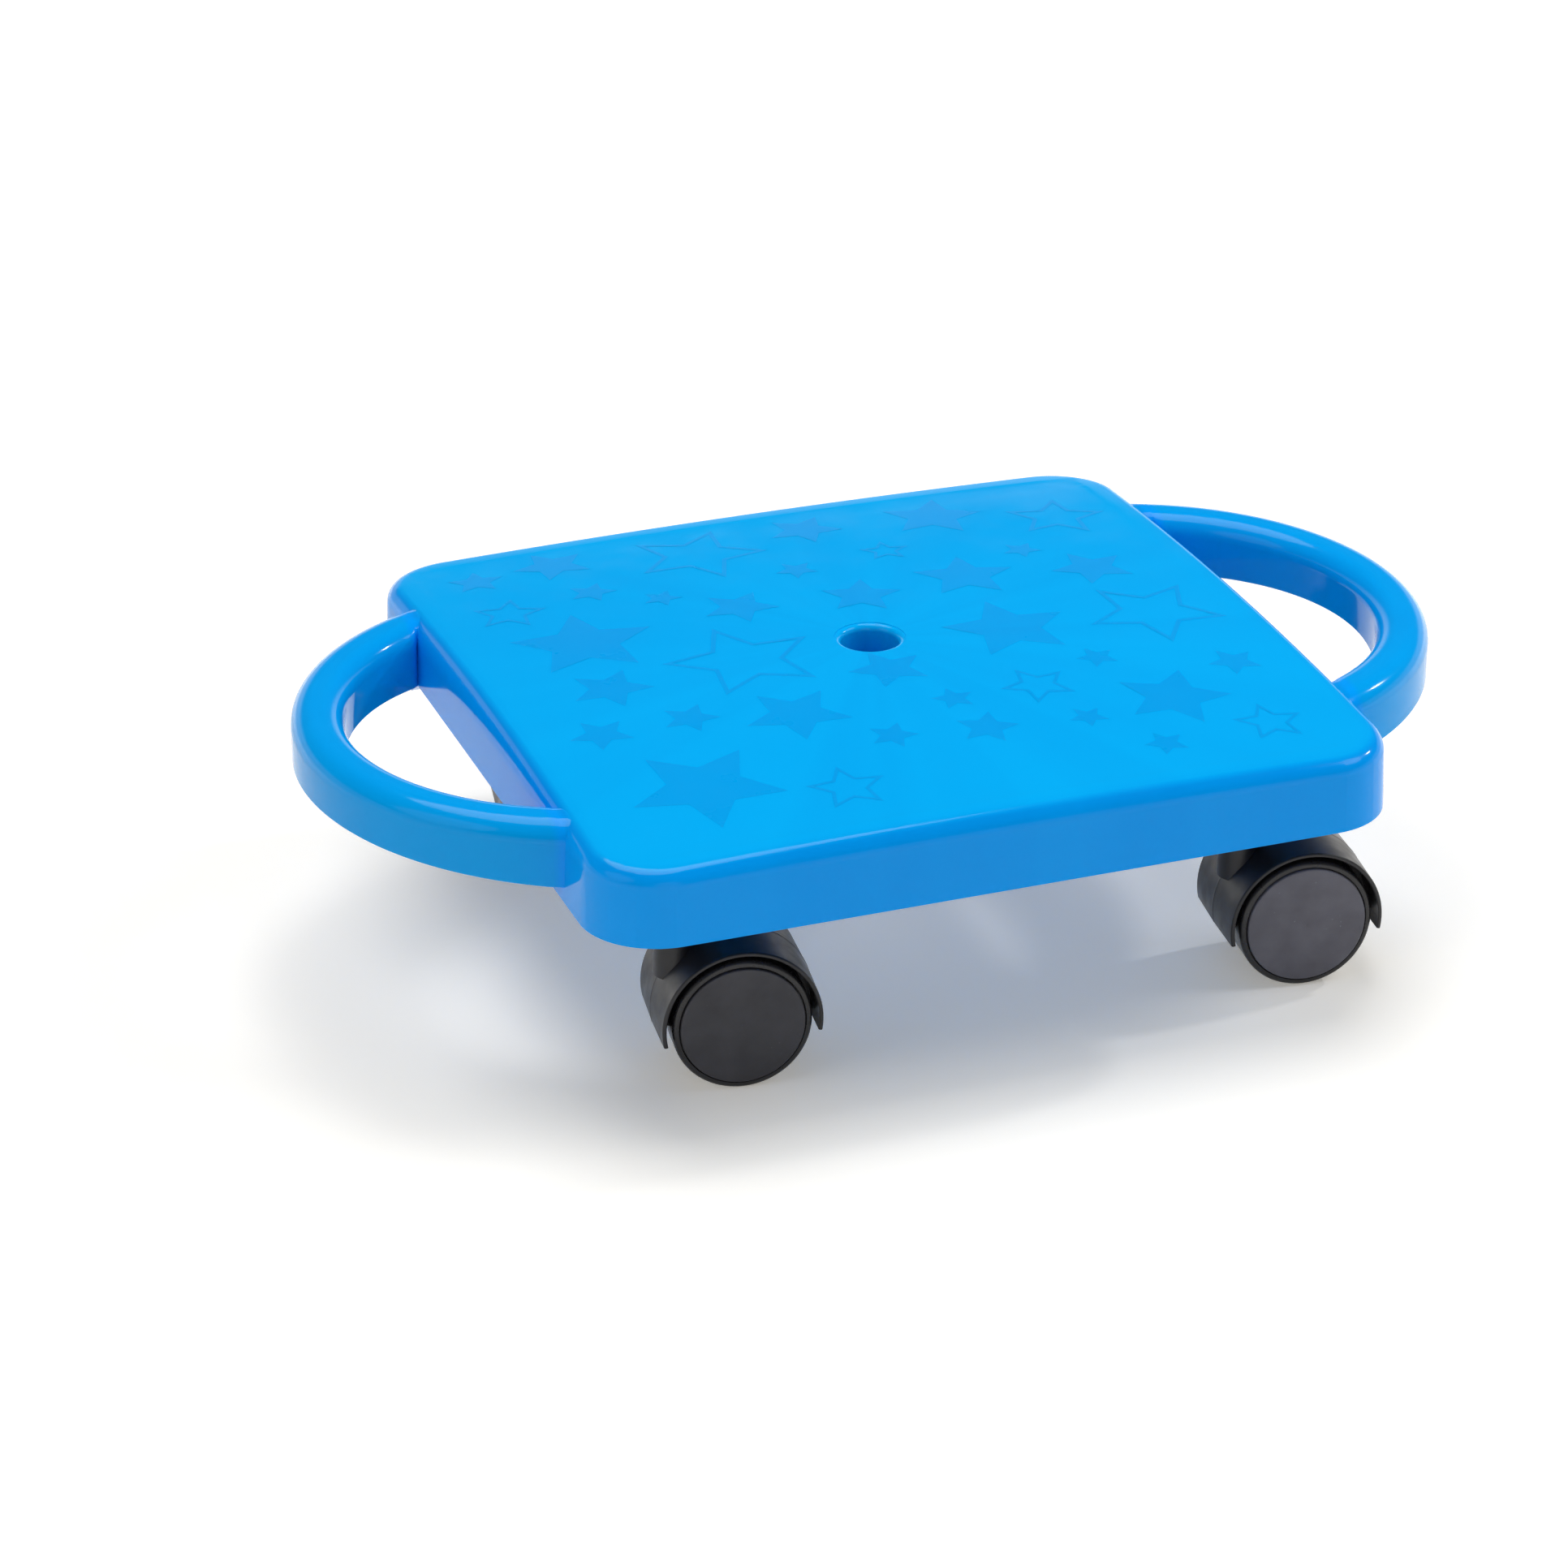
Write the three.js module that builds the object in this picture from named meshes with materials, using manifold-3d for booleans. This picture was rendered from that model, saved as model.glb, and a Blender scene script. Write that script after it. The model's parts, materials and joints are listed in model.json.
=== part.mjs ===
// Scooter board: one moulded deck with two hand loops, riding on four twin-wheel swivel casters.
// Millimetres. +X runs from hand loop to hand loop, +Y away from the front edge, +Z up.
// The origin is on the floor under the middle of the deck.

import * as THREE from 'three';
import { mergeVertices } from 'three/addons/utils/BufferGeometryUtils.js';
import Module from 'manifold-3d';

const wasm = await Module();
wasm.setup();

// Deck
const deckWidth = 300;
const deckDepth = 284;
const cornerRadius = 25;
const rimHeight = 76;
const wallTop = 97;
const wallDraft = 0.6;
const edgeHeight = 102;
const crownAcross = 2.5;
const crownAlong = 6.5;
const edgeRounding = 6;
const skirtWall = 3.2;
const topWall = 3.5;
const innerRounding = 3;

// Sunk panel of the deck's top, and the flat land round its middle hole
const panelInset = 11.8;
const panelSink = 0.4;
const panelSlope = 0.5;
const landRadius = 19;
const holeRadius = 10.7;
const holeLip = 2.5;
const collarWall = 3;
const collarDrop = 25;

// Ribs below the deck
const ribThickness = 2.4;
const crossRibDepth = 9;
const diagonalRibDepth = 14;

// Hand loops: round arcs that spring from the deck's sides, their foot rising outwards
const loopReach = 66;
const loopRadius = 106.8;
const loopBar = 19;
const loopSpread = 2.8;
const loopFoot = 81.6;
const loopRise = 3.4;
const loopTop = 105.6;
const loopRounding = 8;
const loopWall = 3;
const loopOuterBlend = 5;
const loopInnerBlend = 1.5;

// Hand room: the skirt's foot is cut away between a loop's two roots, with sloped ends
const roomSpare = 1;
const roomSlope = 9;

// Caster places, in from the deck's sides, and the way each one trails, counted from +X
const stemInsetX = 41.4;
const stemInsetY = 50.3;
const trail = 20.2;
const frontLeftTurn = -7.9;
const frontRightTurn = -7.2;
const rearLeftTurn = -9.5;
const rearRightTurn = -8;

// Caster wheels
const wheelRadius = 25;
const wheelWidth = 13.9;
const wheelEdge = 1.2;
const wheelBarrel = 3.6;
const wheelDisc = 4;
const hubRadius = 7.5;
const capInset = 2.4;
const capThickness = 2;
const capProud = 0.8;
const capEdge = 0.6;

// Caster hood, its web between the wheels, and its neck
const hoodWall = 1.5;
const hoodGap = 2.3;
const hoodRidge = 0.4;
const hoodOverhang = 0.1;
const hoodStemTip = 191.5;
const hoodTailTip = -9.5;
const webHalf = 5.5;
const axleEye = 8;
const neckRadius = 6.5;
const neckTop = 59.1;

// Axle, kingpin, grip ring and the socket pressed into the deck's boss
const axleRadius = 3;
const axleInWheel = 12;
const pinRadius = 3.5;
const pinFoot = 34;
const shoulderRadius = 7.5;
const shoulderHeight = 1.8;
const stemRadius = 5.5;
const stemLength = 22.3;
const stemPoint = 1.2;
const grooveUp = 12.8;
const grooveHeight = 5;
const grooveDepth = 0.8;
const ringThickness = 1;
const ringOpening = 60;
const socketWall = 1.5;
const socketDepth = 24;
const flangeRadius = 10;
const flangeHeight = 1.2;
const bossWall = 5;
const bossSpare = 2;

// Clearances
const seatGap = 0.3;
const runningGap = 0.3;
const wheelGap = 0.5;
const overrun = 5;

// Facets
const cornerSteps = 5;
const sideSteps = 5;
const roundingSteps = 4;
const innerSteps = 2;
const deckSteps = 3;
const loopSteps = 17;
const channelSteps = 11;
const barSteps = 3;
const blendSteps = 3;
const wheelSteps = 24;
const hoodSteps = 32;
const pinSteps = 12;
const bossSteps = 16;
const holeSteps = 24;

// Sizes worked out from the ones above
const sideX = deckWidth / 2;
const sideY = deckDepth / 2;
const loopOuterX = sideX + loopReach - loopRadius;
const loopInside = loopRadius - loopBar - loopSpread;
const loopInnerX = sideX + loopReach - loopBar - loopInside;
const roomHalf = Math.sqrt(loopInside ** 2 - (sideX - loopInnerX) ** 2) + roomSpare;
const stemX = sideX - stemInsetX;
const stemY = sideY - stemInsetY;
const shoulderFoot = neckTop + seatGap;
const stemFoot = shoulderFoot + shoulderHeight;
const flangeFoot = stemFoot + seatGap;
const bossFoot = flangeFoot + flangeHeight + seatGap;
const socketBore = stemRadius + grooveDepth - seatGap / 2;
const socketRadius = socketBore + socketWall;
const bossRadius = socketRadius + seatGap + bossWall;
const bossBoreTop = flangeFoot + socketDepth + bossSpare;
const hoodInside = wheelRadius + hoodGap;
const wheelStart = webHalf + wheelGap;
const wheelEnd = wheelStart + wheelWidth;
const hoodHalf = wheelEnd + capProud + hoodOverhang;
const capRadius = wheelRadius - capInset - seatGap;
const landHeight = edgeHeight + crownAcross + crownAlong - panelSink;

const radians = THREE.MathUtils.degToRad;

const blue = { color: 0x05a4f0, roughness: 0.32, metalness: 0 };
const charcoal = { color: 0x35353a, roughness: 0.6, metalness: 0 };
const wheelGrey = { color: 0x2b2b30, roughness: 0.55, metalness: 0 };
const capGrey = { color: 0x3c3c42, roughness: 0.62, metalness: 0 };
const steel = { color: 0xb4b8bd, roughness: 0.3, metalness: 0.9 };
const socketGrey = { color: 0x4a4d52, roughness: 0.5, metalness: 0.1 };

// Leaves one clean closed mesh of positions, with its faces pointing out
function closed(geometry) {
  geometry.deleteAttribute('normal');
  geometry.deleteAttribute('uv');
  const merged = mergeVertices(geometry, 1e-4);
  const place = merged.attributes.position;
  const old = merged.index.array;
  const kept = [];
  for (let i = 0; i < old.length; i += 3) {
    const [a, b, c] = [old[i], old[i + 1], old[i + 2]];
    if (a !== b && b !== c && a !== c) kept.push(a, b, c);
  }
  const corner = (i) => new THREE.Vector3().fromBufferAttribute(place, i);
  let volume = 0;
  for (let i = 0; i < kept.length; i += 3) {
    volume += corner(kept[i]).dot(corner(kept[i + 1]).cross(corner(kept[i + 2])));
  }
  if (volume < 0) kept.reverse();
  merged.setIndex(kept);
  return merged;
}

function toSolid(geometry) {
  const clean = closed(geometry);
  const vertProperties = new Float32Array(clean.attributes.position.array);
  const triVerts = new Uint32Array(clean.index.array);
  return new wasm.Manifold(new wasm.Mesh({ numProp: 3, vertProperties, triVerts }));
}

function toGeometry(solid) {
  const mesh = solid.getMesh();
  const geometry = new THREE.BufferGeometry();
  geometry.setAttribute('position', new THREE.BufferAttribute(mesh.vertProperties, 3));
  geometry.setIndex(new THREE.BufferAttribute(mesh.triVerts, 1));
  return geometry;
}

const join = (solids) => solids.reduce((all, next) => all.add(next));

// Closed skin through a stack of rings with as many points each, the lowest ring first
function loft(rings) {
  const count = rings[0].length;
  const positions = rings.flat().flatMap((p) => [p.x, p.y, p.z]);
  const index = [];
  for (let r = 0; r + 1 < rings.length; r += 1) {
    for (let i = 0; i < count; i += 1) {
      const a = r * count + i;
      const b = r * count + ((i + 1) % count);
      index.push(a, b, b + count, a, b + count, a + count);
    }
  }
  const flat = (ring) => ring.map((p) => new THREE.Vector2(p.x, p.y));
  const top = (rings.length - 1) * count;
  for (const [a, b, c] of THREE.ShapeUtils.triangulateShape(flat(rings[0]), [])) index.push(c, b, a);
  for (const [a, b, c] of THREE.ShapeUtils.triangulateShape(flat(rings.at(-1)), [])) {
    index.push(top + a, top + b, top + c);
  }
  const geometry = new THREE.BufferGeometry();
  geometry.setAttribute('position', new THREE.Float32BufferAttribute(positions, 3));
  geometry.setIndex(index);
  return geometry;
}

// Solid of revolution about +Z through the given [radius, height] pairs
function turned(profile, steps) {
  const points = profile.map(([r, z]) => new THREE.Vector2(r, z));
  return new THREE.LatheGeometry(points, steps).rotateX(Math.PI / 2);
}

// The same about the Y axis, with a flat facet at the bottom
function wheelTurned(profile, steps) {
  const points = profile.map(([r, y]) => new THREE.Vector2(r, y));
  return new THREE.LatheGeometry(points, steps, Math.PI / steps);
}

// Points of an arc, from one angle to the other, both ends included
function arc(cx, cy, radius, from, to, steps) {
  const point = (i) => from + ((to - from) * i) / steps;
  return Array.from({ length: steps + 1 }, (_, i) =>
    new THREE.Vector2(cx + radius * Math.cos(point(i)), cy + radius * Math.sin(point(i))));
}

// Height of the domed top over a place on the deck
function domeAt(x, y) {
  const across = 1 - (x / sideX) ** 2;
  const along = 1 - (y / sideY) ** 2;
  return edgeHeight + crownAcross * across + crownAlong * along;
}

// The deck's plan outline, moved in by the given inset
function planRing(inset) {
  const halfX = sideX - inset;
  const halfY = sideY - inset;
  const radius = Math.max(cornerRadius - inset, cornerRadius / 10);
  const quarter = Math.PI / 2;
  const signs = [[1, 1], [-1, 1], [-1, -1], [1, -1]];
  const corners = signs.map(([sx, sy], k) =>
    arc(sx * (halfX - radius), sy * (halfY - radius), radius, k * quarter, (k + 1) * quarter, cornerSteps));
  const ring = [];
  corners.forEach((corner, k) => {
    ring.push(...corner);
    const start = corner.at(-1);
    const end = corners[(k + 1) % corners.length][0];
    for (let i = 1; i < sideSteps; i += 1) ring.push(start.clone().lerp(end, i / sideSteps));
  });
  return ring;
}

const lift = (ring, height) => ring.map((p) => new THREE.Vector3(p.x, p.y, height(p.x, p.y)));

// Rings that round the skirt over into the top, from a level foot up to the dome less a drop
function roundedEdge(inset, rounding, foot, drop, steps) {
  return Array.from({ length: steps + 1 }, (_, i) => {
    const turn = (Math.PI / 2) * (i / steps);
    const rise = (x, y) => (domeAt(x, y) - drop - foot) * Math.sin(turn);
    return lift(planRing(inset + rounding * (1 - Math.cos(turn))), (x, y) => foot + rise(x, y));
  });
}

// Rings that run in from the plan outline at an inset to a circle round the middle
function inwardRings(inset, radius, drop, centreHeight) {
  const outer = planRing(inset);
  const inner = outer.map((p) => p.clone().setLength(radius));
  const rings = [];
  for (let i = 1; i < deckSteps; i += 1) {
    const ring = outer.map((p, k) => p.clone().lerp(inner[k], i / deckSteps));
    rings.push(lift(ring, (x, y) => domeAt(x, y) - drop));
  }
  rings.push(lift(inner, () => centreHeight));
  return rings;
}

// The deck's outer form, solid
function deckForm() {
  const panelFoot = panelInset + panelSlope;
  return toSolid(loft([
    lift(planRing(-wallDraft), () => rimHeight),
    ...roundedEdge(0, edgeRounding, wallTop, 0, roundingSteps),
    lift(planRing(panelInset), domeAt),
    lift(planRing(panelFoot), (x, y) => domeAt(x, y) - panelSink),
    ...inwardRings(panelFoot, landRadius, panelSink, landHeight),
  ]));
}

// The space below the deck's top, down to the given height and in from the outside by two walls
function spaceBelow(side, above, foot) {
  return toSolid(loft([
    lift(planRing(side - wallDraft), () => foot),
    ...roundedEdge(side, innerRounding, wallTop, above, innerSteps),
    ...inwardRings(side + innerRounding, landRadius, above, landHeight - above),
  ]));
}

// Plan outline of a hand loop's bar, drawn in all round by an inset, with blends to the deck's side
function loopRing(inset) {
  const root = sideX - skirtWall - inset;
  const blend = (centre, bar, radius, sense) => {
    const reach = bar + sense * radius;
    const across = sideX - centre + radius;
    const up = Math.sqrt(reach ** 2 - across ** 2);
    return { cx: centre + across, cy: up, turn: Math.atan2(up, across), radius: radius + inset };
  };
  const outer = blend(loopOuterX, loopRadius, loopOuterBlend, 1);
  const inner = blend(loopInnerX, loopInside, loopInnerBlend, -1);
  const outerArc = arc(loopOuterX, 0, loopRadius - inset, -outer.turn, outer.turn, loopSteps);
  const innerArc = arc(loopInnerX, 0, loopInside + inset, inner.turn, -inner.turn, loopSteps);
  const outerBlend = arc(outer.cx, outer.cy, outer.radius, outer.turn - Math.PI, -Math.PI, blendSteps);
  const innerBlend = arc(inner.cx, inner.cy, inner.radius, Math.PI, inner.turn, blendSteps);
  const mirrored = (points) => points.map((p) => new THREE.Vector2(p.x, -p.y)).reverse();
  return [
    new THREE.Vector2(root, -outerBlend.at(-1).y),
    ...mirrored(outerBlend),
    ...outerArc.slice(1, -1),
    ...outerBlend,
    new THREE.Vector2(root, outerBlend.at(-1).y),
    new THREE.Vector2(root, innerBlend[0].y),
    ...innerBlend,
    ...innerArc.slice(1, -1),
    ...mirrored(innerBlend),
    new THREE.Vector2(root, -innerBlend[0].y),
  ];
}

// One hand loop's bar, rounded over along its top
function loopBarForm() {
  const slope = loopRise / loopReach;
  const rings = [lift(loopRing(0), (x) => loopFoot + slope * (x - sideX))];
  for (let i = 0; i <= barSteps; i += 1) {
    const turn = (Math.PI / 2) * (i / barSteps);
    const height = loopTop - loopRounding * (1 - Math.sin(turn));
    rings.push(lift(loopRing(loopRounding * (1 - Math.cos(turn))), () => height));
  }
  return toSolid(loft(rings));
}

// The channel that hollows a hand loop from below, closed off by the deck's skirt
function loopChannel() {
  const side = sideX + wallDraft;
  const span = (centre, radius) => Math.acos((side - centre) / radius);
  const chamfer = loopRounding - loopWall;
  const ring = (inset) => {
    const outside = loopRadius - loopWall - inset;
    const inside = loopInside + loopWall + inset;
    const outerSpan = span(loopOuterX, outside);
    const innerSpan = span(loopInnerX, inside);
    const outer = arc(loopOuterX, 0, outside, -outerSpan, outerSpan, channelSteps);
    const inner = arc(loopInnerX, 0, inside, innerSpan, -innerSpan, channelSteps);
    return [...outer, ...inner];
  };
  const top = loopTop - loopWall;
  return toSolid(loft([
    lift(ring(0), () => loopFoot - overrun),
    lift(ring(0), () => top - chamfer),
    lift(ring(chamfer), () => top),
  ]));
}

const mirrorX = (solid) => solid.mirror([1, 0, 0]);

// What is cut from the skirt's foot for the fingers, on the +X side
function handRoom() {
  const low = rimHeight - overrun;
  const spread = roomHalf + (roomSlope * (loopFoot - low)) / (loopFoot - rimHeight);
  const outline = [[-spread, low], [spread, low], [roomHalf, loopFoot], [-roomHalf, loopFoot]];
  const shape = new THREE.Shape(outline.map(([y, z]) => new THREE.Vector2(y, z)));
  const depth = skirtWall + 2 * overrun;
  const prism = new THREE.ExtrudeGeometry(shape, { depth, bevelEnabled: false });
  prism.rotateX(Math.PI / 2).rotateZ(Math.PI / 2);
  return toSolid(prism.translate(sideX - skirtWall - overrun, 0, 0));
}

const stemPlaces = [
  { name: 'front_left', x: -stemX, y: -stemY, turn: frontLeftTurn },
  { name: 'front_right', x: stemX, y: -stemY, turn: frontRightTurn },
  { name: 'rear_left', x: -stemX, y: stemY, turn: rearLeftTurn },
  { name: 'rear_right', x: stemX, y: stemY, turn: rearRightTurn },
];

// A straight rib in plan between two points, from a height up into the deck's top
function rib(from, to, foot) {
  const length = from.distanceTo(to);
  const height = landHeight - foot;
  const box = new THREE.BoxGeometry(length, ribThickness, height);
  box.translate(length / 2, 0, foot + height / 2);
  box.rotateZ(Math.atan2(to.y - from.y, to.x - from.x));
  return toSolid(box.translate(from.x, from.y, 0));
}

// Ribs that cross at the middle, ribs from the middle to each boss, and webs from boss to skirt
function ribs() {
  const start = holeRadius + collarWall / 2;
  const halfX = sideX - skirtWall / 2;
  const halfY = sideY - skirtWall / 2;
  const crossFoot = edgeHeight - topWall - crossRibDepth;
  const diagonalFoot = edgeHeight - topWall - diagonalRibDepth;
  const cross = [[halfX, 0], [-halfX, 0], [0, halfY], [0, -halfY]];
  const fromCollar = (end, foot) => rib(end.clone().setLength(start), end, foot);
  const solids = cross.map(([x, y]) => fromCollar(new THREE.Vector2(x, y), crossFoot));
  for (const place of stemPlaces) {
    const stem = new THREE.Vector2(place.x, place.y);
    solids.push(fromCollar(stem, diagonalFoot));
    solids.push(rib(stem, new THREE.Vector2(Math.sign(place.x) * halfX, place.y), rimHeight));
    solids.push(rib(stem, new THREE.Vector2(place.x, Math.sign(place.y) * halfY), rimHeight));
  }
  return join(solids);
}

function cylinder(radius, foot, top, steps) {
  return turned([[0, foot], [radius, foot], [radius, top], [0, top]], steps);
}

const atStem = (geometry, place) => toSolid(geometry.translate(place.x, place.y, 0));

function middleHole() {
  const foot = landHeight - topWall - collarDrop - overrun;
  const lip = arc(holeRadius + holeLip, landHeight - holeLip, holeLip, Math.PI, Math.PI / 2, roundingSteps);
  return toSolid(turned([
    [0, foot],
    [holeRadius, foot],
    ...lip.map((p) => [p.x, p.y]),
    [holeRadius + holeLip, landHeight + overrun],
    [0, landHeight + overrun],
  ], holeSteps));
}

// The whole moulding: skirted shell, hand loops, ribs, bosses and the collar of the middle hole
function deck() {
  const bars = loopBarForm();
  const channels = loopChannel();
  const hollow = spaceBelow(skirtWall, topWall, rimHeight - overrun);
  const shell = deckForm().add(bars).add(mirrorX(bars));
  const cuts = join([hollow, channels, mirrorX(channels), handRoom(), mirrorX(handRoom())]);
  const collarFoot = landHeight - topWall - collarDrop;
  const collar = toSolid(cylinder(holeRadius + collarWall, collarFoot, landHeight, holeSteps));
  const bossTop = domeAt(stemX, stemY) - topWall / 2;
  const bosses = stemPlaces.map((p) => atStem(cylinder(bossRadius, bossFoot, bossTop, bossSteps), p));
  const bores = stemPlaces.map((p) =>
    atStem(cylinder(socketRadius + seatGap, bossFoot - overrun, bossBoreTop, bossSteps), p));
  const trim = spaceBelow(skirtWall / 2, topWall / 2, bossFoot - overrun);
  const inside = join([ribs(), collar, ...bosses]).intersect(trim);
  return toGeometry(shell.subtract(cuts).add(inside).subtract(join(bores)).subtract(middleHole()));
}

// Sleeve pressed into the boss, with a flange under the boss's end
function socket() {
  return turned([
    [socketBore, flangeFoot],
    [flangeRadius, flangeFoot],
    [flangeRadius, flangeFoot + flangeHeight],
    [socketRadius, flangeFoot + flangeHeight],
    [socketRadius, flangeFoot + socketDepth],
    [socketBore, flangeFoot + socketDepth],
    [socketBore, flangeFoot],
  ], bossSteps);
}

// Steel stem: a pin for the hood to swivel on, a shoulder, and a grooved upper end for the socket
function kingpin() {
  const stemTop = stemFoot + stemLength;
  const groove = stemFoot + grooveUp;
  return turned([
    [0, pinFoot],
    [pinRadius, pinFoot],
    [pinRadius, shoulderFoot],
    [shoulderRadius, shoulderFoot],
    [shoulderRadius, stemFoot],
    [stemRadius, stemFoot],
    [stemRadius, groove],
    [stemRadius - grooveDepth, groove],
    [stemRadius - grooveDepth, groove + grooveHeight],
    [stemRadius, groove + grooveHeight],
    [stemRadius, stemTop - stemPoint],
    [stemRadius - stemPoint, stemTop],
    [0, stemTop],
  ], pinSteps);
}

// Split spring ring that sits in the stem's groove
function gripRing() {
  const inside = stemRadius - grooveDepth + seatGap / 2;
  const gap = radians(ringOpening / 2);
  const end = 2 * Math.PI - gap;
  const outline = [
    ...arc(0, 0, inside + ringThickness, gap, end, pinSteps),
    ...arc(0, 0, inside, end, gap, pinSteps),
  ];
  const height = grooveHeight - 2 * seatGap;
  const ring = new THREE.ExtrudeGeometry(new THREE.Shape(outline), { depth: height, bevelEnabled: false });
  return ring.translate(0, 0, stemFoot + grooveUp + seatGap);
}

// A shape drawn in the X and Z plane, given a thickness along Y
function plate(outline, from, to) {
  const shape = new THREE.Shape(outline);
  const slab = new THREE.ExtrudeGeometry(shape, { depth: to - from, bevelEnabled: false });
  return slab.rotateX(Math.PI / 2).translate(0, to, 0);
}

// Full ring of the hood's skin, thicker along its middle ridge
function hoodSkin() {
  const outside = hoodInside + hoodWall;
  return toSolid(wheelTurned([
    [hoodInside, -hoodHalf],
    [outside, -hoodHalf],
    [outside + hoodRidge, 0],
    [outside, hoodHalf],
    [hoodInside, hoodHalf],
    [hoodInside, -hoodHalf],
  ], hoodSteps).translate(trail, 0, wheelRadius));
}

// What the hood's skin keeps: the sector over the wheels, from the tail tip to the stem tip
function hoodSector() {
  const reach = hoodInside + hoodWall + overrun;
  const outline = [
    new THREE.Vector2(trail, wheelRadius),
    ...arc(trail, wheelRadius, reach, radians(hoodTailTip), radians(hoodStemTip), pinSteps),
  ];
  return toSolid(plate(outline, -hoodHalf - overrun, hoodHalf + overrun));
}

// Plate between the wheels that carries the axle
function hoodWeb() {
  const reach = hoodInside + hoodWall / 2;
  const outline = [
    ...arc(trail, wheelRadius, reach, radians(hoodTailTip), radians(hoodStemTip), pinSteps),
    ...arc(trail, wheelRadius, axleEye, radians(hoodStemTip + 45), radians(360 + hoodTailTip - 45), blendSteps),
  ];
  return toSolid(plate(outline, -webHalf, webHalf));
}

// Room for one wheel under the hood, on the side that the sign gives
function wheelRoom(sign) {
  const [near, far] = [sign * webHalf, sign * (hoodHalf + overrun)];
  const room = wheelTurned([[0, near], [hoodInside, near], [hoodInside, far], [0, far]], hoodSteps);
  return toSolid(room.translate(trail, 0, wheelRadius));
}

function hood() {
  const neckFoot = wheelRadius + hoodInside / 2;
  const neck = toSolid(cylinder(neckRadius, neckFoot, neckTop, bossSteps));
  const skin = hoodSkin().intersect(hoodSector());
  const body = join([skin, neck]).subtract(wheelRoom(1)).subtract(wheelRoom(-1)).add(hoodWeb());
  const bore = toSolid(cylinder(pinRadius + runningGap, pinFoot - runningGap, neckTop + overrun, pinSteps));
  const eyeHalf = webHalf + overrun;
  const eye = toSolid(wheelTurned([
    [0, -eyeHalf],
    [axleRadius + seatGap, -eyeHalf],
    [axleRadius + seatGap, eyeHalf],
    [0, eyeHalf],
  ], pinSteps).translate(trail, 0, wheelRadius));
  return toGeometry(body.subtract(bore).subtract(eye));
}

function axle() {
  const half = wheelStart + axleInWheel;
  const profile = [[0, -half], [axleRadius, -half], [axleRadius, half], [0, half]];
  return wheelTurned(profile, pinSteps).translate(trail, 0, wheelRadius);
}

// One wheel on the +Y side: a barrel on a disc, with a hub, open outwards for its cap
function wheel() {
  const outside = wheelRadius / Math.cos(Math.PI / wheelSteps);
  const bore = axleRadius + runningGap;
  const seat = wheelEnd - capThickness + capProud - seatGap;
  const mouth = outside - capInset;
  return wheelTurned([
    [bore, wheelStart],
    [outside, wheelStart],
    [outside, wheelEnd - wheelEdge],
    [outside - wheelEdge, wheelEnd],
    [mouth, wheelEnd],
    [mouth, seat],
    [outside - wheelBarrel, seat],
    [outside - wheelBarrel, wheelStart + wheelDisc],
    [hubRadius, wheelStart + wheelDisc],
    [hubRadius, seat],
    [bore, seat],
    [bore, wheelStart],
  ], wheelSteps).translate(trail, 0, wheelRadius);
}

// Flat cover disc let into the wheel's open side
function wheelCap() {
  const outer = wheelEnd + capProud;
  const inner = outer - capThickness;
  return wheelTurned([
    [0, inner],
    [capRadius, inner],
    [capRadius, outer - capEdge],
    [capRadius - capEdge, outer],
    [0, outer],
  ], wheelSteps).translate(trail, 0, wheelRadius);
}

function named(name, geometry, look) {
  const mesh = new THREE.Mesh(closed(geometry), new THREE.MeshStandardMaterial(look));
  mesh.name = name;
  return mesh;
}

// The pieces of one caster that stay with the deck
function fixedPieces(place) {
  const group = new THREE.Group();
  group.add(named(`${place.name}_socket`, socket(), socketGrey));
  group.add(named(`${place.name}_kingpin`, kingpin(), steel));
  group.add(named(`${place.name}_grip_ring`, gripRing(), steel));
  group.position.set(place.x, place.y, 0);
  return group;
}

// The pieces of one caster that swivel about its kingpin
function swivelPieces(place) {
  const group = new THREE.Group();
  group.add(named(`${place.name}_hood`, hood(), charcoal));
  group.add(named(`${place.name}_axle`, axle(), steel));
  for (const side of [1, -1]) {
    const which = side === Math.sign(place.y) ? 'outer' : 'inner';
    group.add(named(`${place.name}_${which}_wheel`, wheel().scale(1, side, 1), wheelGrey));
    group.add(named(`${place.name}_${which}_cap`, wheelCap().scale(1, side, 1), capGrey));
  }
  group.position.set(place.x, place.y, 0);
  group.rotation.z = radians(place.turn);
  return group;
}

const group = new THREE.Group();
group.add(named('deck', deck(), blue));
for (const place of stemPlaces) {
  group.add(fixedPieces(place));
  group.add(swivelPieces(place));
}

export default group;
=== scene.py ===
"""Scooter board: a moulded blue deck with two hand loops, on four twin-wheel swivel casters.

Shapes are drawn in millimetres in the CAD frame, and turned into metres as each piece is finished.
"""

import json
import math

import bmesh
import bpy
from mathutils import Matrix, Vector


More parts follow.
